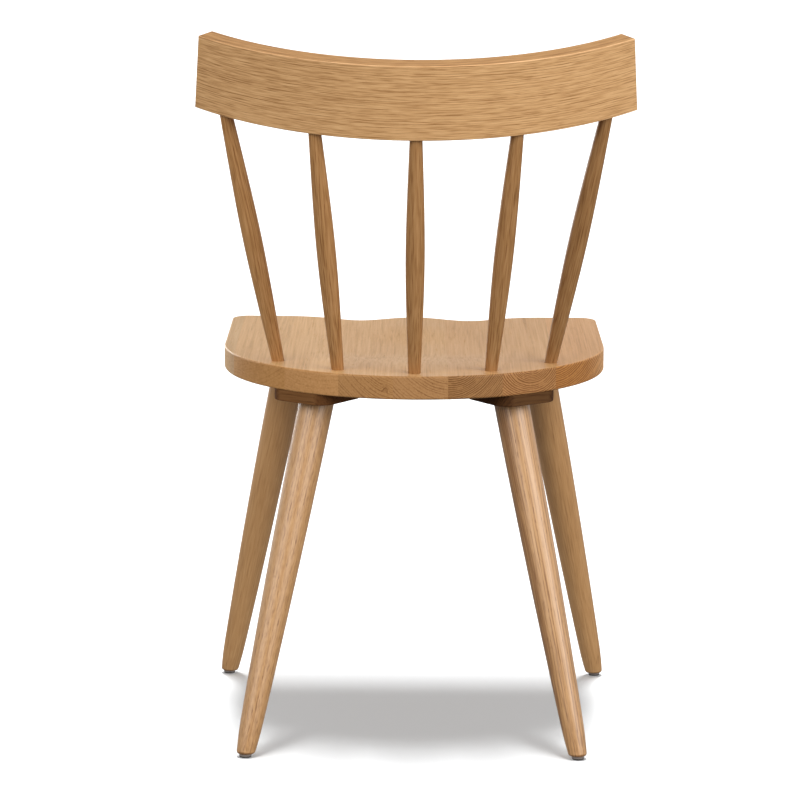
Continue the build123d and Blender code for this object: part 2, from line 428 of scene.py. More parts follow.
@dataclass(frozen=True)
class Grain:
    """How a straight piece lies in the log that it was cut from.

    Attributes:
        origin: A point in the middle of the piece.
        along: The way of the fibres.
        across: A way across the fibres.
        pith: Where the log's heart is from the origin: across, and square to it.
        lean: How far the heart moves over for each metre along: across, and square to it.
        ring: How wide a year's growth is.
        wander: How far the growth strays from a true circle.
        fade: How much darker the wood is for each metre along.
        heart: How far the darker heartwood reaches from the pith, 0 for none.
        seed: Which stretch of the log this is.
        knots: The knots that show.
    """

    origin: Vector
    along: Vector
    across: Vector
    pith: tuple[float, float]
    lean: tuple[float, float] = (0.012, -0.008)
    ring: float = 0.0026
    wander: float = 0.010
    fade: float = 0.0
    heart: float = 0.0
    seed: float = 0.0
    knots: tuple[Knot, ...] = ()

    def coordinates(self, tree: FinishTree) -> tuple[Wire, Wire, Wire]:
        """Where the surface is in the piece.

        Args:
            tree: The finish's tree.

        Returns:
            The distances across, through and along the fibres, in metres.
        """
        inputs = {0: tree.place(), 1: self.origin}
        offset = tree.wire("ShaderNodeVectorMath", 0, {"operation": "SUBTRACT"}, inputs)
        through = self.along.cross(self.across)
        return tuple(tree.dot(offset, way) for way in (self.across, through, self.along))

    def end_facing(self, tree: FinishTree) -> Wire:
        """How squarely the surface cuts the fibres, from 0 to 1."""
        return abs(tree.facing(self.along))

    def growth(self, tree: FinishTree) -> Growth:
        """Works out the log at the surface of the piece.

        Args:
            tree: The finish's tree.

        Returns:
            The log there.
        """
        across, through, run = self.coordinates(tree)
        along = run + LOG_STEP * self.seed
        sway = SWAY.lay(across, through, along).centred()
        drift = DRIFT.lay(through, across, along).centred()
        ripple = RIPPLE.lay(across, through, along).centred()
        out_across = across - self.pith[0] + run * self.lean[0] + sway * self.wander
        out_through = through - self.pith[1] + run * self.lean[1] + drift * self.wander
        radius = (out_across * out_across + out_through * out_through).root()
        angle = tree.math("ARCTAN2", out_across, out_through)
        rings = radius + ripple * RIPPLE_HEIGHT
        cores = []
        for knot in self.knots:
            near = 1 - tree.distance(knot.place).rise(0.0, knot.reach)
            rings = rings + near * knot.swell
            cores.append(near.rise(*KNOT_CORE) * knot.dark)
        return Growth(across, through, along, run, radius, angle, rings, tuple(cores))


@dataclass(frozen=True)
class BentGrain(Grain):
    """How a piece bent about an upright axis lies in its log: its fibres follow the bend.

    Here origin is on the axis of the bend, across is along that axis, and along is the fibres'
    way at the middle of the piece.

    Attributes:
        bend_radius: From the axis to the piece.
    """

    bend_radius: float = 1.0

    def coordinates(self, tree: FinishTree) -> tuple[Wire, Wire, Wire]:
        """Where the surface is in the piece, measured round the bend.

        Args:
            tree: The finish's tree.

        Returns:
            The distances across, through and along the fibres, in metres.
        """
        across, outward, sideways = super().coordinates(tree)
        radius = (outward * outward + sideways * sideways).root()
        angle = tree.math("ARCTAN2", sideways, outward)
        return across, radius - self.bend_radius, angle * self.bend_radius

    def end_facing(self, tree: FinishTree) -> Wire:
        """How squarely the surface cuts the bent fibres, from 0 to 1."""
        outward, sideways = super().coordinates(tree)[1:]
        radius = (outward * outward + sideways * sideways).root()
        facing_along = tree.facing(self.along) * outward
        facing_out = tree.facing(self.along.cross(self.across)) * sideways
        return abs((facing_along - facing_out) / radius)


@dataclass(frozen=True)
class Years:
    """How a log's growth goes through each year, and from year to year.

    Attributes:
        swings: How many swings from good to poor years there are to a metre outward.
        swing_rings: How many rings a swing moves the growth by.
        swing_step: How far apart in the noise the swings of two logs are.
        swing_depth: How deep in the noise they lie.
        vigour_waves: How often the spring wood's strength changes, to a metre outward.
        vigour_along: How often it changes, to a metre along.
        vigour_round: How often it changes, to a radian round the pith.
        vigour_start: Where in the noise it starts.
        vigour_band: Where in the noise it is weak, and where it is strong.
        vigour_gain: How much stronger strong spring wood is.
        vigour_least: How strong the weak is.
        spring_start: The part of a year in which the spring wood comes up.
        spring_end: The part in which it passes into summer wood.
    """

    swings: float = 95.0
    swing_rings: float = 2.4
    swing_step: float = 3.0
    swing_depth: float = 0.5
    vigour_waves: float = 230.0
    vigour_along: float = 0.8
    vigour_round: float = 2.0
    vigour_start: float = 9.0
    vigour_band: Band = (0.30, 0.72)
    vigour_gain: float = 1.3
    vigour_least: float = 0.15
    spring_start: Band = (0.0, 0.10)
    spring_end: Band = (0.12, 0.58)

    def spring_wood(self, tree: FinishTree, grain: Grain, growth: Growth) -> Wire:
        """Finds the open spring wood.

        Args:
            tree: The finish's tree.
            grain: How the piece lies in its log.
            growth: The log at the surface.

        Returns:
            How strong it is, from 0.
        """
        log_place = self.swing_step * grain.seed
        swing = tree.grain_noise(tree.vector(growth.rings * self.swings, log_place, self.swing_depth))
        year = (growth.rings / grain.ring + swing * self.swing_rings).fraction()
        turn = growth.along * self.vigour_along + growth.angle * self.vigour_round
        vigour_place = tree.vector(growth.rings * self.vigour_waves, self.vigour_start + grain.seed, turn)
        vigour = tree.grain_noise(vigour_place).rise(*self.vigour_band)
        spring = year.rise(*self.spring_start) * (1 - year.rise(*self.spring_end))
        return spring * (vigour * self.vigour_gain + self.vigour_least)


@dataclass(frozen=True)
class Marks:
    """What shows on the surface of a piece, as wires.

    Attributes:
        spring: The open spring wood.
        pores: The pores, most of them in the spring wood.
        fibre: The fine fibres, about 0.
        veins: Thin dark lines along the fibres.
        rays: Pale flecks that run out from the pith.
        cloud: Broad patches, about 0.
        ends: Where the surface cuts the fibres.
    """

    spring: Wire
    pores: Wire
    fibre: Wire
    veins: Wire
    rays: Wire
    cloud: Wire
    ends: Wire


@dataclass(frozen=True)
class Lacquer:
    """The satin film on the oak, which follows the wood's relief.

    Attributes:
        roughness: Of the film on smooth wood.
        pore_roughness: How much rougher it is over pores.
        end_roughness: How much rougher it is on end grain.
        fibre_roughness: How much it changes from fibre to fibre.
        refraction: How strongly it bends light.
        gloss: How strongly the wood itself shines, 0.5 being usual.
        coat: How much clear film lies over the wood's own gloss.
        coat_roughness: Of that clear film.
        level: How high smooth wood lies, as a share of the relief's depth.
        pore_dip: How much lower pores are.
        spring_dip: How much lower spring wood is.
        fibre_height: How much the height changes from fibre to fibre.
        depth: Of the relief.
        relief: How much of it shows.
    """

    roughness: float = 0.40
    pore_roughness: float = 0.16
    end_roughness: float = 0.06
    fibre_roughness: float = 0.10
    refraction: float = 1.5
    gloss: float = 0.5
    coat: float = 0.0
    coat_roughness: float = 0.34
    level: float = 0.7
    pore_dip: float = 0.6
    spring_dip: float = 0.16
    fibre_height: float = 0.22
    depth: float = 0.00022
    relief: float = 0.35

    def sockets(self, tree: FinishTree, marks: Marks) -> dict[str, Feed]:
        """Works out the shader's sockets, apart from its colour.

        Args:
            tree: The finish's tree.
            marks: What shows on the surface.

        Returns:
            The sockets.
        """
        roughness = (
            self.roughness
            + marks.pores * self.pore_roughness
            + marks.ends * self.end_roughness
            + marks.fibre * self.fibre_roughness
        )
        height = (
            self.level
            - marks.pores * self.pore_dip
            - marks.spring * self.spring_dip
            + marks.fibre * self.fibre_height
        )
        return {
            "Roughness": roughness,
            "IOR": self.refraction,
            "Specular IOR Level": self.gloss,
            "Coat Weight": self.coat,
            "Coat Roughness": self.coat_roughness,
            "Normal": tree.bump(height, self.depth, self.relief),
        }


@dataclass(frozen=True)
class PaintedEdgeLight:
    """Painted light on a board's long edges, square to the grain's across: painted shade on those faces,
    and a painted highlight on the arrises beside them.

    Attributes:
        tint: What their colour is multiplied by, as painted shade.
        arris_highlight_tint: What it is multiplied by on the arrises beside them, as a painted highlight.
        flat: How squarely a surface faces where the edge starts, and where it is full.
        arris_highlight_start: The same for the highlighted arris on the face's side.
        arris_highlight_end: The same for the highlighted arris on the edge's side.
    """

    tint: Colour
    arris_highlight_tint: Colour
    flat: Band = (0.80, 0.98)
    arris_highlight_start: Band = (0.30, 0.60)
    arris_highlight_end: Band = (0.75, 0.97)

    def colour(self, tree: FinishTree, grain: Grain, wood: Wire) -> Wire:
        """Paints shade on the edges and a highlight on their arrises.

        Args:
            tree: The finish's tree.
            grain: How the piece lies in its log.
            wood: The colour of the faces.

        Returns:
            The colour of the whole board.
        """
        square = abs(tree.facing(grain.across))
        # Painted shade: the faces square to the grain's across are darkened.
        edge_shaded = tree.tint(wood, self.tint, square.rise(*self.flat))
        # Painted highlight: the rounded arrises beside them are made paler and bluer, as if catching the
        # light.
        arris_highlight = square.rise(*self.arris_highlight_start) * (1 - square.rise(*self.arris_highlight_end))
        return tree.tint(edge_shaded, self.arris_highlight_tint, arris_highlight)


# Marks that all the oak shares: how many there are, and where in their noise they come up
YEARS = Years()
CLOUD = Waves(16.0, 3.2, detail=2.0, start=11.0)
VEIN_WIDTH: Band = (0.0, 0.08)
VEIN_BREAKS = 30.0
VEIN_BREAK_BAND: Band = (0.40, 0.60)
PORE_BAND: Band = (0.57, 0.72)
SPRING_PORES = 0.75
SUMMER_PORES = 0.25
RAYS_ROUND = 95.0
RAYS_OUTWARD = 130.0
RAYS_ALONG = 75.0
RAY_BAND: Band = (0.62, 0.76)
RAY_STRENGTH = 0.09
END_BAND: Band = (0.10, 0.50)

# How far the heartwood's rim blurs inward and outward
HEART_INWARD = 0.006
HEART_OUTWARD = 0.004

# How dark plain wood is, where the middle colour lies, and what ruddy wood gains in red, green and blue
PLAIN_DEPTH = 0.34
MIDDLE_DEPTH = 0.42
RUDDY_GAIN: Colour = (0.05, -0.03, -0.10)


@dataclass(frozen=True)
class Oak:
    """Lacquered oak: growth rings, pores, rays and fibres in the log, under a satin film.

    Attributes:
        pale: The smooth summer wood.
        middle: The colour in between.
        dark: The open spring wood and its pores.
        end_tint: What the end grain's colour is multiplied by, as it drinks the lacquer; on the seat's
            eighth stave it is a painted reflection.
        ring_strength: How much the rings show.
        end_figure: How much more they show on the end grain.
        pore_strength: How much the pores show.
        pore_fine: How many pores there are to a metre across.
        pore_short: How many there are to a metre along.
        fibre_strength: How much the fine fibres show.
        fibre_fine: How many fibres there are to a metre across.
        fibre_short: How many there are to a metre along.
        vein_strength: How much the thin dark lines along the fibres show.
        vein_fine: How many of them there are to a metre across.
        vein_short: How many there are to a metre along.
        heart_depth: How much darker the heartwood is.
        cloud_strength: How much broad patches differ.
        edges: The painted shade on the long edges and the painted highlight on their arrises, if there
            are any.
        lacquer: The film.
    """

    pale: Colour = (0.640, 0.365, 0.160)
    middle: Colour = (0.530, 0.282, 0.110)
    dark: Colour = (0.270, 0.120, 0.036)
    end_tint: Colour = (0.66, 0.58, 0.50)
    ring_strength: float = 0.20
    end_figure: float = 0.15
    pore_strength: float = 0.40
    pore_fine: float = 1250.0
    pore_short: float = 42.0
    fibre_strength: float = 1.1
    fibre_fine: float = 700.0
    fibre_short: float = 34.0
    vein_strength: float = 0.0
    vein_fine: float = 240.0
    vein_short: float = 9.0
    heart_depth: float = 0.35
    cloud_strength: float = 0.40
    edges: PaintedEdgeLight | None = None
    lacquer: Lacquer = Lacquer()

    def marks(self, tree: FinishTree, grain: Grain, growth: Growth) -> Marks:
        """Finds what shows on the surface.

        Args:
            tree: The finish's tree.
            grain: How the piece lies in its log.
            growth: The log at the surface.

        Returns:
            The marks.
        """
        across, through, along = growth.across, growth.through, growth.along
        spring = YEARS.spring_wood(tree, grain, growth)
        pores = Waves(self.pore_fine, self.pore_short).lay(across, through, along)
        fibre = Waves(self.fibre_fine, self.fibre_short).lay(across, through, along)
        veins = Waves(self.vein_fine, self.vein_short).lay(across, through, along)
        breaks = Waves(self.vein_fine, VEIN_BREAKS).lay(through, across, along)
        outward = growth.radius * RAYS_OUTWARD
        ray_place = tree.vector(growth.angle * RAYS_ROUND, outward, along * RAYS_ALONG)
        return Marks(
            spring=spring,
            pores=pores.rise(*PORE_BAND) * (spring * SPRING_PORES + SUMMER_PORES),
            fibre=fibre.centred(),
            veins=(1 - abs(veins.centred()).rise(*VEIN_WIDTH)) * breaks.rise(*VEIN_BREAK_BAND),
            rays=tree.grain_noise(ray_place, detail=0.0).rise(*RAY_BAND),
            cloud=CLOUD.lay(across, through, along).centred(),
            ends=grain.end_facing(tree).rise(*END_BAND),
        )

    def depth(self, grain: Grain, growth: Growth, marks: Marks) -> Wire:
        """Works out how dark the wood is.

        Args:
            grain: How the piece lies in its log.
            growth: The log at the surface.
            marks: What shows there.

        Returns:
            From 0 for the palest wood to 1 for the darkest.
        """
        depth = (
            PLAIN_DEPTH
            + marks.spring * (marks.ends * self.end_figure + self.ring_strength)
            + marks.pores * self.pore_strength
            + marks.fibre * self.fibre_strength
            + marks.veins * self.vein_strength
            + marks.cloud * self.cloud_strength
            + growth.run * grain.fade
            - marks.rays * RAY_STRENGTH
        )
        if grain.heart:
            sapwood = growth.radius.rise(grain.heart - HEART_INWARD, grain.heart + HEART_OUTWARD)
            depth = depth + (1 - sapwood) * self.heart_depth
        for core in growth.cores:
            depth = depth + core
        return depth

    def material(
        self, name: str, grain: Grain, tone: float = 1.0, ruddy: float = 0.0
    ) -> bpy.types.Material:
        """Makes the material of one piece.

        Args:
            name: The material's name.
            grain: How the piece lies in its log.
            tone: How light this piece is, 1 being usual.
            ruddy: How much redder it is, 0 being usual.

        Returns:
            The material.
        """
        tree = FinishTree(name)
        growth = grain.growth(tree)
        marks = self.marks(tree, grain, growth)
        stops = ((0.0, self.pale), (MIDDLE_DEPTH, self.middle), (1.0, self.dark))
        wood = tree.ramp(self.depth(grain, growth, marks), stops)
        toned = tree.tint(wood, tuple(tone * (1 + gain * ruddy) for gain in RUDDY_GAIN))
        colour = tree.tint(toned, self.end_tint, marks.ends)
        if self.edges:
            colour = self.edges.colour(tree, grain, colour)
        return tree.finish({"Base Color": colour, **self.lacquer.sockets(tree, marks)})


@dataclass(frozen=True)
class Mottled:
    """A plain material that is dull in patches, with a fine grit on its surface.

    Attributes:
        colour: Where it is bright.
        dull: What the colour is multiplied by where it is dull.
        band: Where in the noise the dull patches end, and where it is bright.
        patches: How many patches there are to a metre.
        patch_roughness: How much rougher the bright ones are.
        grit: How many specks of grit there are to a metre.
        grit_detail: How many finer layers the grit has.
        grit_depth: How deep it is.
        grit_roughness: How much rougher it is.
        roughness: Where the surface is smoothest.
        metallic: 1 for a metal, 0 for anything else.
        relief: How much of the grit's depth shows.
    """

    colour: Colour
    dull: float
    band: Band
    patches: float
    patch_roughness: float
    grit: float
    grit_detail: float
    grit_depth: float
    grit_roughness: float
    roughness: float
    metallic: float = 0.0
    relief: float = 0.3

    def material(self, name: str) -> bpy.types.Material:
        """Makes the material.

        Args:
            name: The material's name.

        Returns:
            The material.
        """
        tree = FinishTree(name)
        patches = tree.grain_noise(tree.spots(self.patches), detail=3.0)
        grit = tree.grain_noise(tree.spots(self.grit), self.grit_detail)
        roughness = self.roughness + patches * self.patch_roughness + grit * self.grit_roughness
        return tree.finish(
            {
                "Base Color": tree.mottle(patches, self.colour, self.dull, self.band),
                "Metallic": self.metallic,
                "Roughness": roughness,
                "Normal": tree.bump(grit, self.grit_depth, self.relief),
            }
        )


# Steel under zinc plate, with fine turning marks
ZINC = Mottled(
    colour=(0.56, 0.55, 0.52),
    dull=0.72,
    band=(0.3, 0.7),
    patches=420.0,
    patch_roughness=0.16,
    grit=5200.0,
    grit_detail=1.0,
    grit_depth=0.00003,
    grit_roughness=0.08,
    roughness=0.30,
    metallic=1.0,
)

# Moulded nylon, pale and slightly waxy, scuffed by the floor
NYLON = Mottled(
    colour=(0.26, 0.215, 0.190),
    dull=0.80,
    band=(0.28, 0.68),
    patches=260.0,
    patch_roughness=0.0,
    grit=3800.0,
    grit_detail=2.0,
    grit_depth=0.00006,
    grit_roughness=0.18,
    roughness=0.42,
)


@dataclass(frozen=True)
class Felt:
    """Pressed wool felt, matted at the floor.

    Attributes:
        light: The hairs on top.
        dark: The hollows between them.
        hairs: How many hairs there are to a metre.
        hair_share: How much of the colour follows the hairs.
        twists: How many tufts there are to a metre.
        twist_share: How much of the colour follows the tufts.
        band: Where the dark ends, and where it is light.
        roughness: Of the wool.
        sheen: How much the hairs shine along the surface.
        sheen_roughness: Of that shine.
        hair_depth: How deep the hairs lie.
        relief: How much of that shows.
    """

    light: Colour = (0.060, 0.052, 0.046)
    dark: Colour = (0.022, 0.019, 0.017)
    hairs: float = 3600.0
    hair_share: float = 0.6
    twists: float = 900.0
    twist_share: float = 0.4
    band: Band = (0.35, 0.62)
    roughness: float = 0.95
    sheen: float = 0.35
    sheen_roughness: float = 0.5
    hair_depth: float = 0.00025
    relief: float = 0.8

    def material(self, name: str) -> bpy.types.Material:
        """Makes the material.

        Args:
            name: The material's name.

        Returns:
            The material.
        """
        tree = FinishTree(name)
        twist = tree.grain_noise(tree.spots(self.twists), detail=3.0)
        hairs = tree.grain_noise(tree.spots(self.hairs), detail=4.0, roughness=0.7)
        wool = hairs * self.hair_share + twist * self.twist_share
        return tree.finish(
            {
                "Base Color": tree.ramp(wool, ((self.band[0], self.dark), (self.band[1], self.light))),
                "Roughness": self.roughness,
                "Sheen Weight": self.sheen,
                "Sheen Roughness": self.sheen_roughness,
                "Normal": tree.bump(hairs, self.hair_depth, self.relief),
            }
        )


@dataclass(frozen=True)
class FloorPaint:
    """Plain matt paint on the studio's floor.

    Attributes:
        colour: Its colour.
        dull: What that is multiplied by in broad patches.
        patch_band: Where in the noise the patches end, and where the colour is full.
        roughness: Of the paint.
        gloss: How strongly it shines.
    """

    colour: Colour = (0.920, 0.938, 0.950)
    dull: float = 0.99
    patch_band: Band = (0.3, 0.7)
    roughness: float = 0.9
    gloss: float = 0.1

    def material(self, name: str) -> bpy.types.Material:
        """Makes the material.

        Args:
            name: The material's name.

        Returns:
            The material.
        """
        tree = FinishTree(name)
        patches = tree.grain_noise(tree.place(), detail=2.0)
        return tree.finish(
            {
                "Base Color": tree.mottle(patches, self.colour, self.dull, self.patch_band),
                "Roughness": self.roughness,
                "Specular IOR Level": self.gloss,
            }
        )


class Corner(Enum):
    """The four corners of the chair, by the sitter's sides."""

    REAR_LEFT = "rear_left"
    REAR_RIGHT = "rear_right"
    FRONT_LEFT = "front_left"
    FRONT_RIGHT = "front_right"


def dress(node: str, material: bpy.types.Material) -> None:
    """Gives a node of the frame its material.

    Args:
        node: The node's name.
        material: What it is made of.
    """
    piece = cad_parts[node]
    for slot in piece.material_slots:
        slot.material = material
    log.info("dressed %s in %s", node, material.name)


def middle_of(node: str) -> Vector:
    """The middle of a node's box."""
    low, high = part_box(node)
    return (low + high) / 2


# One in how many of a turned piece's points make up each end, and the fewest points to take
END_PART = 40
FEWEST_POINTS = 8


def axis_of(node: str) -> tuple[Vector, Vector]:
    """Finds the axis of a turned piece from the middles of its two ends.

    Args:
        node: A leg or a spindle.

    Returns:
        The middle of the piece, and the way up along its axis.
    """
    places = [vertex.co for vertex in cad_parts[node].data.vertices]
    places.sort(key=lambda place: place.z)
    count = max(FEWEST_POINTS, len(places) // END_PART)
    lower = sum(places[:count], Vector()) / count
    upper = sum(places[-count:], Vector()) / count
    return (lower + upper) / 2, (upper - lower).normalized()


def square_to(along: Vector, towards: Vector) -> Vector:
    """The way that lies square to one direction and nearest to another."""
    return (towards - along * towards.dot(along)).normalized()


STAVE_KNOT = Knot((0.0321, 0.1668, 0.4235), reach=0.007, swell=0.005, dark=0.16)
CREST_KNOT = Knot((-0.2133, 0.1965, 0.8045), reach=0.004, swell=0.002, dark=0.22)
LEG_KNOT = Knot((0.1597, 0.1600, 0.2035), reach=0.005, swell=0.0, dark=0.40)


@dataclass(frozen=True)
class StaveCut:
    """One stave of the seat and its cut of the log.

    Attributes:
        pith: Where the log's heart lay: towards the sitter's right, and upward.
        tone: How light the stave is.
        ruddy: How much redder it is.
        ring: How wide a year's growth is.
        figure: How much the rings show on its top.
        end_figure: How much more they show on its ends.
        end_tint: What its ends' colour is multiplied by.
        knots: The knots that show.
    """

    pith: tuple[float, float]
    tone: float
    ruddy: float
    ring: float
    figure: float
    end_figure: float
    end_tint: Colour
    knots: tuple[Knot, ...] = ()


@dataclass
class Seat:
    """The seat panel, glued from staves that run from front to back.

    Attributes:
        pitch: How far the seat tips to the rear, in radians.
        cuts: One to each stave, from the sitter's right.
        oak: What the staves' finishes share.
    """

    pitch: float = math.radians(2.3)
    cuts: tuple[StaveCut, ...] = (
        StaveCut(
            pith=(-0.030, 0.034), tone=1.12, ruddy=0.3, ring=0.0024,
            figure=0.10, end_figure=2.30, end_tint=(0.70, 0.57, 0.37),
        ),
        StaveCut(
            pith=(0.004, 0.024), tone=1.09, ruddy=-0.3, ring=0.0024,
            figure=0.10, end_figure=2.40, end_tint=(0.66, 0.56, 0.46),
        ),
        StaveCut(
            pith=(-0.024, 0.036), tone=1.07, ruddy=-0.3, ring=0.0022,
            figure=0.10, end_figure=1.80, end_tint=(0.55, 0.48, 0.39),
        ),
        StaveCut(
            pith=(0.045, 0.070), tone=1.13, ruddy=-0.7, ring=0.0030,
            figure=0.08, end_figure=0.30, end_tint=(0.63, 0.56, 0.50),
        ),
        StaveCut(
            pith=(0.055, 0.075), tone=1.17, ruddy=-0.7, ring=0.0028,
            figure=0.08, end_figure=0.30, end_tint=(0.615, 0.54, 0.45), knots=(STAVE_KNOT,),
        ),
        StaveCut(
            pith=(0.020, 0.120), tone=1.32, ruddy=-1.0, ring=0.0044,
            figure=0.06, end_figure=0.08, end_tint=(0.66, 0.57, 0.48),
        ),
        StaveCut(
            pith=(-0.050, 0.100), tone=1.26, ruddy=-1.0, ring=0.0040,
            figure=0.06, end_figure=0.08, end_tint=(0.64, 0.535, 0.40),
        ),
        # The eighth stave's bluish grey end tint is a painted reflection: the cool sheen of the pale room
        # on the seat's far end.
        StaveCut(
            pith=(-0.050, 0.100), tone=1.15, ruddy=-1.4, ring=0.0040,
            figure=0.06, end_figure=0.05, end_tint=(0.66, 0.66, 0.78),
        ),
    )
    oak: Oak = Oak(
        pore_strength=0.10,
        fibre_strength=0.65,
        fibre_fine=480.0,
        fibre_short=7.0,
        vein_strength=0.12,
        vein_fine=200.0,
        vein_short=1.5,
        lacquer=Lacquer(roughness=0.43, gloss=0.25),
    )

    def dress(self) -> None:
        """Gives each stave oak of its own cut."""
        along = Vector((0.0, math.cos(self.pitch), -math.sin(self.pitch)))
        for number, cut in enumerate(self.cuts, start=1):
            node = f"seat_stave_{number}"
            grain = Grain(
                middle_of(node),
                along,
                -LEFTWARD,
                cut.pith,
                ring=cut.ring,
                seed=float(number),
                knots=cut.knots,
            )
            oak = replace(
                self.oak,
                end_tint=cut.end_tint,
                ring_strength=cut.figure,
                end_figure=cut.end_figure,
            )
            dress(node, oak.material(f"oak_{node}", grain, cut.tone, cut.ruddy))


@dataclass
class CrestRail:
    """The bent rail across the top of the back.

    Attributes:
        bend_radius: Of its rear face.
        height: From its lower edge to its upper one.
        lean: How far it tips to the rear, in radians.
        tone: How light it is.
        oak: Its finish.
    """

    bend_radius: float = 0.369
    height: float = 0.088
    lean: float = math.radians(18.0)
    tone: float = 1.08
    oak: Oak = Oak(
        pale=(0.640, 0.385, 0.180),
        middle=(0.535, 0.300, 0.128),
        dark=(0.290, 0.138, 0.046),
        ring_strength=0.34,
        pore_strength=0.12,
        fibre_strength=1.9,
        fibre_fine=1250.0,
        fibre_short=48.0,
        vein_strength=0.05,
        vein_fine=420.0,
        cloud_strength=0.20,
        # Painted light: the rail's top and bottom faces are darkened as painted shade, and the arrises
        # along them are paler as a painted highlight.
        edges=PaintedEdgeLight(tint=(0.84, 0.77, 0.65), arris_highlight_tint=(1.20, 1.24, 1.36)),
        lacquer=Lacquer(gloss=0.3),
    )

    def dress(self) -> None:
        """Gives the rail oak whose fibres follow its bend."""
        low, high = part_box("crest_rail")
        rear_foot = Vector((0.0, high.y - self.height * math.sin(self.lean), low.z))
        outward = Vector((0.0, math.cos(self.lean), -math.sin(self.lean)))
        grain = BentGrain(
            origin=rear_foot - outward * self.bend_radius,
            along=LEFTWARD,
            across=outward.cross(LEFTWARD),
            pith=(0.260, -0.120),
            lean=(0.010, 0.010),
            ring=0.0026,
            wander=0.007,
            fade=0.3,
            seed=12.0,
            knots=(CREST_KNOT,),
            bend_radius=self.bend_radius,
        )
        dress("crest_rail", self.oak.material("oak_crest_rail", grain, self.tone))


@dataclass
class Spindles:
    """The turned spindles of the back.

    Attributes:
        tones: How light each is, from the sitter's right.
        ruddy: How much redder they are.
        pith_side: How far to a side the logs' hearts lay, by turns left and right.
        pith_rear: How far to the rear they lay.
        pith_step: How much further to the rear from spindle to spindle.
        ring: How wide a year's growth is.
        seed: The stretch of log before the first.
        oak: Their finish.
    """

    tones: tuple[float, ...] = (0.55, 0.61, 0.64, 0.70, 0.77)
    ruddy: float = 0.6
    pith_side: float = 0.030
    pith_rear: float = 0.022
    pith_step: float = 0.006
    ring: float = 0.0022
    seed: float = 20.0
    oak: Oak = Oak(
        ring_strength=0.30,
        pore_strength=0.50,
        fibre_strength=1.2,
        vein_strength=0.20,
        vein_fine=400.0,
        vein_short=6.0,
        lacquer=Lacquer(gloss=0.15),
    )

    def dress(self) -> None:
        """Gives each spindle oak along its own axis."""
        for number, tone in enumerate(self.tones, start=1):
            node = f"spindle_{number}"
            middle, along = axis_of(node)
            side = 1 if number % 2 else -1
            grain = Grain(
                middle,
                along,
                square_to(along, LEFTWARD),
                pith=(self.pith_side * side, self.pith_rear + self.pith_step * number),
                ring=self.ring,
                seed=self.seed + number,
            )
            dress(node, self.oak.material(f"oak_{node}", grain, tone, self.ruddy))


REAR_LEFT_OAK = Oak(
    ring_strength=0.20,
    pore_strength=0.50,
    pore_fine=700.0,
    pore_short=120.0,
    fibre_strength=1.2,
    fibre_fine=640.0,
    fibre_short=110.0,
    lacquer=Lacquer(coat=0.4),
)
REAR_RIGHT_OAK = Oak(
    ring_strength=0.36,
    pore_strength=0.50,
    pore_fine=700.0,
    pore_short=120.0,
    fibre_strength=1.1,
    fibre_fine=640.0,
    fibre_short=14.0,
    vein_strength=0.25,
    vein_fine=350.0,
    vein_short=5.0,
    heart_depth=0.45,
    lacquer=Lacquer(coat=0.6),
)
FRONT_LEG_OAK = Oak(
    ring_strength=0.12,
    pore_strength=0.20,
    fibre_strength=0.8,
    fibre_fine=640.0,
    fibre_short=30.0,
)


@dataclass(frozen=True)
class LegCut:
    """One leg and its cut of the log, with the block that it is let into.

    Attributes:
        corner: Where it stands.
        oak: Its finish.
        tone: How light it is.
        shaded_block_tone: How light its block is, darkened as painted shade from the seat above.
        pith: Where the log's heart lay: towards the sitter's left, and to the rear.
        lean: How far the heart moves over for each metre along.
        heart: How far the darker heartwood reaches from the pith, 0 for none.
        knots: The knots that show.
    """

    corner: Corner
    oak: Oak
    tone: float
    shaded_block_tone: float
    pith: tuple[float, float]
    lean: tuple[float, float] = (0.012, -0.008)
    heart: float = 0.0
    knots: tuple[Knot, ...] = ()


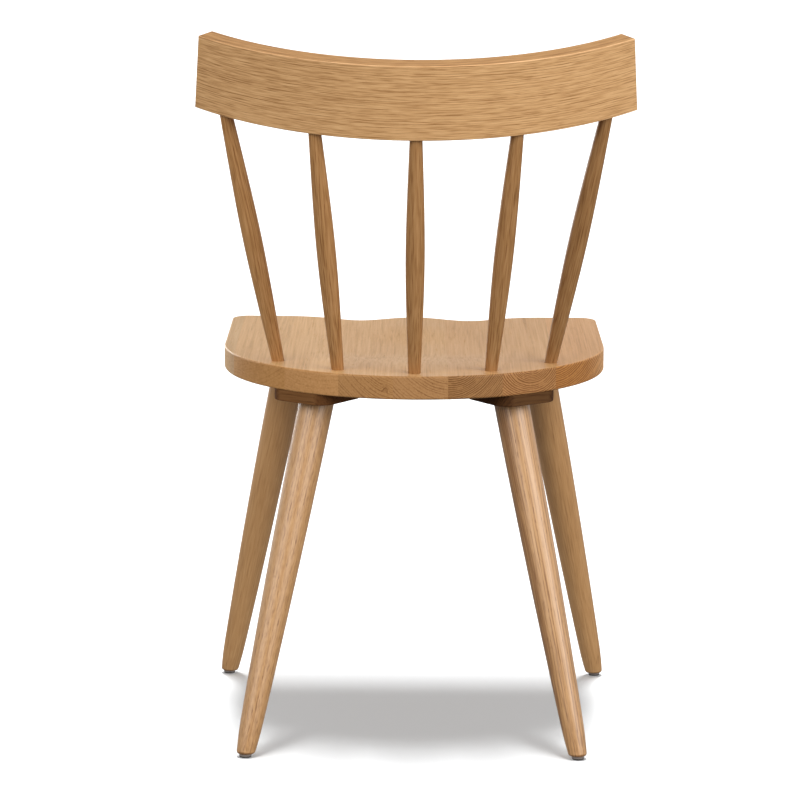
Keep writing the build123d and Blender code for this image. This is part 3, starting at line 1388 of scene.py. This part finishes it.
@dataclass
class Legs:
    """The four splayed legs and the blocks that they are let into.

    Attributes:
        cuts: One to each leg.
        ring: How wide a year's growth is in a leg.
        seed: The stretch of log of the first leg.
        block_oak: The blocks' finish.
        shaded_block_ruddy: How much redder they are, deepening their painted shade.
        block_pith: Where their log's heart lay.
        block_seed: The stretch of log of the first block.
    """

    # The blocks' tones are painted shade: each is darkened far below its leg as if shadowed by the seat,
    # the right rear darkest.
    cuts: tuple[LegCut, ...] = (
        LegCut(
            Corner.REAR_LEFT, REAR_LEFT_OAK, tone=0.86, shaded_block_tone=0.252,
            pith=(0.055, 0.030), knots=(LEG_KNOT,),
        ),
        LegCut(
            Corner.REAR_RIGHT, REAR_RIGHT_OAK, tone=0.92, shaded_block_tone=0.150,
            pith=(0.027, 0.008), lean=(0.020, -0.008), heart=0.020,
        ),
        LegCut(
            Corner.FRONT_LEFT, FRONT_LEG_OAK, tone=0.86, shaded_block_tone=0.22,
            pith=(0.055, 0.054),
        ),
        LegCut(
            Corner.FRONT_RIGHT, FRONT_LEG_OAK, tone=0.86, shaded_block_tone=0.22,
            pith=(-0.055, 0.066),
        ),
    )
    ring: float = 0.0032
    seed: float = 30.0
    block_oak: Oak = Oak(ring_strength=0.30, lacquer=Lacquer(roughness=0.60, gloss=0.1))
    shaded_block_ruddy: float = 2.8
    block_pith: tuple[float, float] = (0.05, 0.06)
    block_seed: float = 40.0

    def dress(self) -> None:
        """Gives legs and blocks oak along their own axes."""
        for number, cut in enumerate(self.cuts):
            leg = f"leg_{cut.corner.value}"
            middle, along = axis_of(leg)
            grain = Grain(
                middle,
                along,
                square_to(along, LEFTWARD),
                cut.pith,
                cut.lean,
                ring=self.ring,
                heart=cut.heart,
                seed=self.seed + number,
                knots=cut.knots,
            )
            dress(leg, cut.oak.material(f"oak_{leg}", grain, cut.tone))

            block = f"leg_block_{cut.corner.value}"
            level_way = UP.cross(along).normalized()
            block_grain = Grain(
                middle_of(block),
                level_way,
                square_to(level_way, UP),
                self.block_pith,
                seed=self.block_seed + number,
            )
            name = f"oak_{block}"
            # Painted shade: the block's tone and ruddiness darken it as if under the seat's shadow.
            dress(block, self.block_oak.material(name, block_grain, cut.shaded_block_tone, self.shaded_block_ruddy))


@dataclass
class Fasteners:
    """The wood screws of the blocks and the nails of the glides.

    Attributes:
        steel: Their finish.
    """

    steel: Mottled = ZINC

    def dress(self) -> None:
        """Gives them zinc plated steel."""
        dress("block_screws", self.steel.material("zinc_screws"))
        dress("glide_nails", self.steel.material("zinc_nails"))


@dataclass
class Glides:
    """The feet: a moulded disc at the end of each leg, and the felt pad under it.

    Attributes:
        nylon: The discs' finish.
        felt: The pads' finish.
        profile: A pad from the middle of its top to the middle of its sole, in shares of its radius and
            of its thickness.
        spokes: How many steps there are round a pad.
        rim: From which share of the radius the felt is fuzzy.
        fuzz: How far the fuzzy rim strays.
        rim_waves: How often it strays round the pad.
        level_waves: How often it strays from top to sole.
        seed: Which stretch of noise the rims take.
    """

    nylon: Mottled = NYLON
    felt: Felt = Felt()
    profile: tuple[tuple[float, float], ...] = (
        (0.00, 1.00), (0.50, 1.00), (0.90, 1.00), (0.965, 0.96), (0.990, 0.80), (0.985, 0.55),
        (0.990, 0.30), (0.975, 0.08), (0.94, 0.00), (0.55, 0.00), (0.00, 0.00),
    )
    spokes: int = 96
    rim: float = 0.9
    fuzz: float = 0.00016
    rim_waves: float = 9.0
    level_waves: float = 3.0
    seed: float = 5.0

    def dress(self) -> None:
        """Dresses the discs and makes the pads."""
        nylon = self.nylon.material("nylon_glide")
        felt = self.felt.material("felt_pad")
        for corner in Corner:
            dress(f"glide_{corner.value}", nylon)
            self.build_pad(corner, felt)

    def build_pad(self, corner: Corner, felt: bpy.types.Material) -> bpy.types.Object:
        """Makes one felt pad, pressed flat at the floor and fuzzy at its rim.

        Args:
            corner: Which foot it is under.
            felt: What it is made of.

        Returns:
            The pad.
        """
        node = f"glide_pad_{corner.value}"
        low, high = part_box(node)
        made = bmesh.new()
        rings = [self.lay_ring(made, low, high, share, level) for share, level in self.profile]
        for upper, lower in zip(rings, rings[1:]):
            self.join_rings(made, upper, lower)
        bmesh.ops.recalc_face_normals(made, faces=made.faces)
        mesh = bpy.data.meshes.new(f"felt_{corner.value}")
        made.to_mesh(mesh)
        made.free()
        mesh.shade_smooth()
        mesh.materials.append(felt)
        pad = bpy.data.objects.new(f"felt_pad_{corner.value}", mesh)
        bpy.context.scene.collection.objects.link(pad)
        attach(pad, BODY)
        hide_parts(node)
        log.info("made %s for %s", pad.name, node)
        return pad

    def lay_ring(
        self, made: bmesh.types.BMesh, low: Vector, high: Vector, share: float, level: float
    ) -> list[bmesh.types.BMVert]:
        """Lays one ring of a pad's points.

        Args:
            made: The mesh.
            low: The lower corner of the pad's box.
            high: The upper corner.
            share: How far out the ring is, as a share of the radius.
            level: How high it is, as a share of the thickness.

        Returns:
            The points, or only one in the middle.
        """
        centre = (low + high) / 2
        radius = (high.x - low.x) / 2
        height = low.z + (high.z - low.z) * level
        if share == 0:
            return [made.verts.new((centre.x, centre.y, height))]
        ring = []
        for step in range(self.spokes):
            angle = 2 * math.pi * step / self.spokes
            way = Vector((math.cos(angle), math.sin(angle), 0.0))
            reach = radius * share
            if share > self.rim:
                offset = Vector((centre.x, centre.y, level * self.level_waves)) * self.seed
                stray = noise.noise(way * self.rim_waves + offset)
                reach -= self.fuzz * (0.5 + 0.5 * stray)
            ring.append(made.verts.new((centre.x + way.x * reach, centre.y + way.y * reach, height)))
        return ring

    def join_rings(
        self, made: bmesh.types.BMesh, upper: list[bmesh.types.BMVert], lower: list[bmesh.types.BMVert]
    ) -> None:
        """Lays the faces between two rings.

        Args:
            made: The mesh.
            upper: The ring nearer the middle of the top.
            lower: The next ring.
        """
        for step in range(self.spokes):
            after = (step + 1) % self.spokes
            if len(upper) == 1:
                made.faces.new((upper[0], lower[step], lower[after]))
            elif len(lower) == 1:
                made.faces.new((upper[after], upper[step], lower[0]))
            else:
                made.faces.new((upper[after], upper[step], lower[step], lower[after]))


class FloorShare(Enum):
    """What a light falls on."""

    FLOOR_ALONE = "INCLUDE"
    ALL_BUT_FLOOR = "EXCLUDE"


@dataclass(frozen=True)
class Softbox:
    """One studio light with a wide soft face.

    Attributes:
        name: Its name.
        place: Where it hangs.
        aim: What it points at.
        width: Of its face.
        height: Of its face.
        power: In watts.
    """

    name: str
    place: tuple[float, float, float]
    aim: tuple[float, float, float]
    width: float
    height: float
    power: float

    def hang(self) -> bpy.types.Object:
        """Hangs the light.

        Returns:
            The light.
        """
        lamp = bpy.data.lights.new(self.name, "AREA")
        lamp.shape = "RECTANGLE"
        lamp.size = self.width
        lamp.size_y = self.height
        lamp.energy = self.power
        light = bpy.data.objects.new(self.name, lamp)
        light.location = self.place
        way = Vector(self.aim) - Vector(self.place)
        light.rotation_mode = "QUATERNION"
        light.rotation_quaternion = way.to_track_quat("-Z", "Y")
        bpy.context.scene.collection.objects.link(light)
        log.info("hung %s", self.name)
        return light


@dataclass
class Studio:
    """A white floor without an end, soft lights and the camera of the portrait.

    Attributes:
        floor_side: Of the square floor.
        floor_steps: How many squares it has along a side.
        paint: Its finish.
        backdrop: How bright the low backdrop is beyond the chair and at its sides.
        backdrop_sides: How far a direction leads away from the camera where the backdrop starts, and
            where it is full.
        backdrop_top: How far a direction leads up where it starts to fade, and where it ends.
        room: How bright the rest of the room is.
        bounce: How bright it is below, as the chair sees it.
        horizon: How far a direction leads up where the bounce ends, and where the room starts.
        fill_power: Of the even light on the floor, in watts to the square metre.
        ceiling_power: Of the strip light under the ceiling, in watts to the square metre of floor.
        ceiling_width: The angle that the strip takes up from side to side, in degrees.
        ceiling_tilts: How far each stretch of the strip lies towards the camera, in degrees.
        lights: The softboxes.
        camera_place: Where the camera stands.
        camera_pitch: How far it looks down, in degrees.
        camera_yaw: How far it looks towards the sitter's left, in degrees.
        camera_roll: How far it turns about its own line of sight, in degrees.
        lens: Its focal length in millimetres.
        sensor: The width of its sensor in millimetres.
    """

    floor_side: float = 240.0
    floor_steps: int = 8
    paint: FloorPaint = FloorPaint()
    backdrop: float = 0.95
    backdrop_sides: Band = (-0.7, 0.1)
    backdrop_top: Band = (0.25, 0.60)
    room: float = 0.28
    bounce: float = 0.24
    horizon: Band = (-0.1, 0.1)
    fill_power: float = 0.65
    ceiling_power: float = 3.9
    ceiling_width: float = 8.0
    ceiling_tilts: tuple[float, ...] = (-15.0, -11.0, -7.0, -3.0, 1.0, 5.0, 9.0)
    lights: tuple[Softbox, ...] = (
        Softbox(
            "right_softbox", place=(-2.93, 2.86, 2.20), aim=(0.0, 0.13, 0.40),
            width=3.7, height=3.4, power=178.0,
        ),
        Softbox(
            "left_softbox", place=(2.83, 3.75, 2.75), aim=(0.0, 0.13, 0.40),
            width=4.2, height=3.1, power=160.0,
        ),
        Softbox(
            "overhead_softbox", place=(0.0, -0.30, 3.20), aim=(0.0, -0.05, 0.43),
            width=2.0, height=2.0, power=8.0,
        ),
        Softbox(
            "front_softbox", place=(1.50, -2.00, 1.00), aim=(0.0, 0.0, 0.45),
            width=1.2, height=1.2, power=25.0,
        ),
    )
    camera_place: tuple[float, float, float] = (0.0058, 4.0882, 0.9784)
    camera_pitch: float = 8.25
    camera_yaw: float = 0.15
    camera_roll: float = 0.37
    lens: float = 156.9
    sensor: float = 36.0

    def build(self) -> None:
        """Makes the floor, the room's light, the lamps and the camera."""
        floor = self.lay_floor()
        self.light_room(floor)
        for softbox in self.lights:
            self.share_light(softbox.hang(), floor, FloorShare.ALL_BUT_FLOOR)
        self.stand_camera()

    @staticmethod
    def share_light(light: bpy.types.Object, floor: bpy.types.Object, share: FloorShare) -> None:
        """Says what a light falls on.

        Args:
            light: The light.
            floor: The floor.
            share: The floor alone or all but the floor.
        """
        group = bpy.data.collections.new(f"lit_by_{light.name}")
        group.objects.link(floor)
        group.collection_objects[0].light_linking.link_state = share.value
        light.light_linking.receiver_collection = group

    def lay_floor(self) -> bpy.types.Object:
        """Lays a plain pale floor.

        Returns:
            The floor.
        """
        made = bmesh.new()
        steps = self.floor_steps
        bmesh.ops.create_grid(made, x_segments=steps, y_segments=steps, size=self.floor_side / 2)
        mesh = bpy.data.meshes.new("studio_floor")
        made.to_mesh(mesh)
        made.free()
        mesh.materials.append(self.paint.material("white_floor"))
        floor = bpy.data.objects.new("studio_floor", mesh)
        bpy.context.scene.collection.objects.link(floor)
        floor.visible_diffuse = False
        floor.visible_glossy = False
        floor.visible_shadow = False
        return floor

    def light_room(self, floor: bpy.types.Object) -> None:
        """Fills the room with soft white light, and lights the floor from a strip under the ceiling.

        Args:
            floor: The floor.
        """
        world = bpy.data.worlds.new("white_room")
        tree = NodeTree(world)
        way = tree.wire("ShaderNodeTexCoord", "Generated", {}, {})
        height = tree.dot(way, UP)
        beyond = tree.dot(way, -REARWARD).rise(*self.backdrop_sides)
        low_down = 1 - height.rise(*self.backdrop_top)
        above = self.room + beyond * low_down * (self.backdrop - self.room)
        strength = self.bounce + height.rise(*self.horizon) * (above - self.bounce)
        inputs = {"Color": (1.0, 1.0, 1.0, 1.0), "Strength": strength}
        light = tree.wire("ShaderNodeBackground", 0, {}, inputs)
        tree.node("ShaderNodeOutputWorld", {}, {"Surface": light})
        bpy.context.scene.world = world
        self.light_floor("floor_fill", floor, self.fill_power, tilt=0.0, casts=False)
        share = self.ceiling_power / len(self.ceiling_tilts)
        for number, tilt in enumerate(self.ceiling_tilts, start=1):
            self.light_floor(f"ceiling_strip_{number}", floor, share, tilt, casts=True)
        bpy.context.scene.view_settings.view_transform = "Standard"

    def light_floor(
        self, name: str, floor: bpy.types.Object, power: float, tilt: float, casts: bool
    ) -> None:
        """Lights the floor alone, from far above.

        Args:
            name: The light's name.
            floor: The floor.
            power: In watts to the square metre.
            tilt: How far the light lies towards the camera, in degrees.
            casts: Whether the chair's shadow shows in it.
        """
        lamp = bpy.data.lights.new(name, "SUN")
        lamp.energy = power
        lamp.angle = math.radians(self.ceiling_width)
        lamp.use_shadow = casts
        light = bpy.data.objects.new(name, lamp)
        light.rotation_euler = (-math.radians(tilt), 0.0, 0.0)
        bpy.context.scene.collection.objects.link(light)
        self.share_light(light, floor, FloorShare.FLOOR_ALONE)
        log.info("hung %s", name)

    def stand_camera(self) -> None:
        """Stands the camera behind the chair, as in the photograph."""
        data = bpy.data.cameras.new("portrait_camera")
        data.lens = self.lens
        data.sensor_width = self.sensor
        camera = bpy.data.objects.new("portrait_camera", data)
        pitch = math.radians(self.camera_pitch)
        yaw = math.radians(self.camera_yaw)
        level = math.cos(pitch)
        way = Vector((math.sin(yaw) * level, -math.cos(yaw) * level, -math.sin(pitch)))
        roll = Quaternion((0.0, 0.0, 1.0), math.radians(self.camera_roll))
        camera.rotation_mode = "QUATERNION"
        camera.rotation_quaternion = way.to_track_quat("-Z", "Y") @ roll
        camera.location = self.camera_place
        bpy.context.scene.collection.objects.link(camera)
        bpy.context.scene.camera = camera
        log.info("stood the camera at %s", self.camera_place)


def main() -> None:
    """Dresses the chair, sub-assembly by sub-assembly, and sets up the studio."""
    logging.basicConfig(level=logging.INFO, format="%(name)s: %(message)s")
    for assembly in (Seat(), CrestRail(), Spindles(), Legs(), Fasteners(), Glides()):
        assembly.dress()
    Studio().build()


if __name__ == "__main__":
    main()
